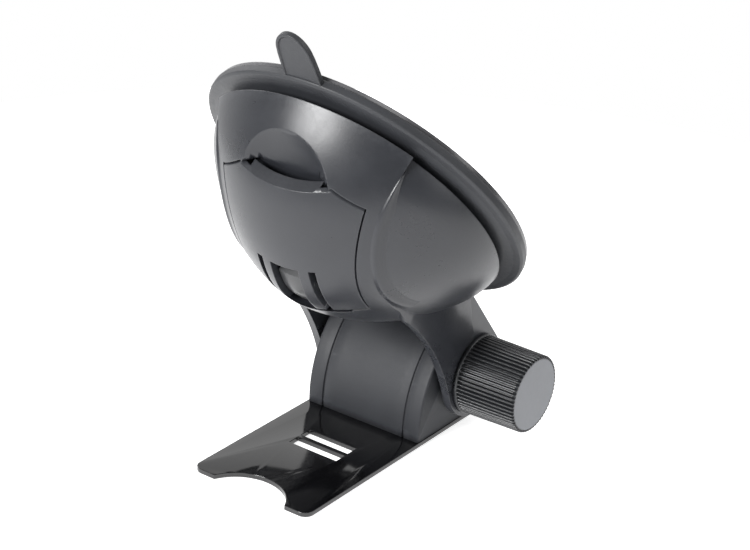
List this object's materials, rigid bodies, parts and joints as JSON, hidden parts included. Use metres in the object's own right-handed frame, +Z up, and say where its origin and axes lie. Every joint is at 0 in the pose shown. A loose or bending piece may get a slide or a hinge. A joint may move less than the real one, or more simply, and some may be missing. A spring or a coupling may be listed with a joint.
{
  "type": "windscreen suction mount",
  "caption": "Tilting windscreen suction mount for a dash camera, with a domed lever-lock cup, a fluted clamp knob and a flat slotted tongue.",
  "frame": {"origin": "middle of the footprint, on the underside of the camera plate", "axes": "+Z up out of the plate; X along the tilt pivot, with the clamp knob on +X; the slotted tongue points to -Y and the cup's glass face looks up and towards +Y"},
  "size_m": [0.086, 0.079, 0.1125],
  "materials": {
    "plate_paint": "glossy",
    "shell_plastic": "satin",
    "lever_plastic": "satin",
    "block_plastic": "satin",
    "frame_plastic": "matt",
    "stem_plastic": "satin",
    "knob_plastic": "matt",
    "cap_plastic": "satin",
    "washer_nylon": "matt",
    "cup_rubber": "matt",
    "gel": "tacky",
    "steel": "zinc plated",
    "black_steel": "black oxide",
    "brass": "turned"
  },
  "bodies": {
    "bracket": {"mount_plate": "plate_paint", "plate_screws": "black_steel", "pivot_block": "block_plastic", "friction_washers": "washer_nylon"},
    "head": {"housing": "shell_plastic", "inner_frame": "frame_plastic", "frame_screws": "steel", "cam_runner": "steel", "return_spring": "steel", "pivot_bolt": "black_steel"},
    "clamp": {"clamp_washer": "steel", "disc_spring": "steel"},
    "knob": {"knob_body": "knob_plastic", "knob_insert": "brass", "knob_cap": "cap_plastic"},
    "cup": {"suction_cup": "cup_rubber", "gel_pad": "gel", "cup_stem": "stem_plastic", "lever_pin": "steel"},
    "lever": {"lock_lever": "lever_plastic"}
  },
  "joints": [
    {"name": "head_tilt", "type": "hinge", "parent": "bracket", "child": "head", "pos_m": [0, 0.0242, 0.015], "axis": [1, 0, 0], "range_deg": [-90, 25]},
    {"name": "clamp_travel", "type": "slide", "parent": "head", "child": "clamp", "axis": [1, 0, 0], "range_m": [0, 0.0016]},
    {"name": "knob_turn", "type": "hinge", "parent": "clamp", "child": "knob", "pos_m": [0.03, 0.0242, 0.015], "axis": [1, 0, 0], "range_deg": [0, 720]},
    {"name": "cup_slide", "type": "slide", "parent": "head", "child": "cup", "axis": [0, 0.7793, 0.6266], "range_m": [0, 0.00267], "deforming": ["return_spring"]},
    {"name": "lever_turn", "type": "hinge", "parent": "cup", "child": "lever", "pos_m": [0, -0.01955, 0.04899], "axis": [1, 0, 0], "range_deg": [0, 80]}
  ],
  "couplings": [
    {"joint": "knob_turn", "follows": "clamp_travel", "rad_per_m": 7854},
    {"joint": "lever_turn", "follows": "cup_slide", "rad_per_m": 523.6}
  ]
}
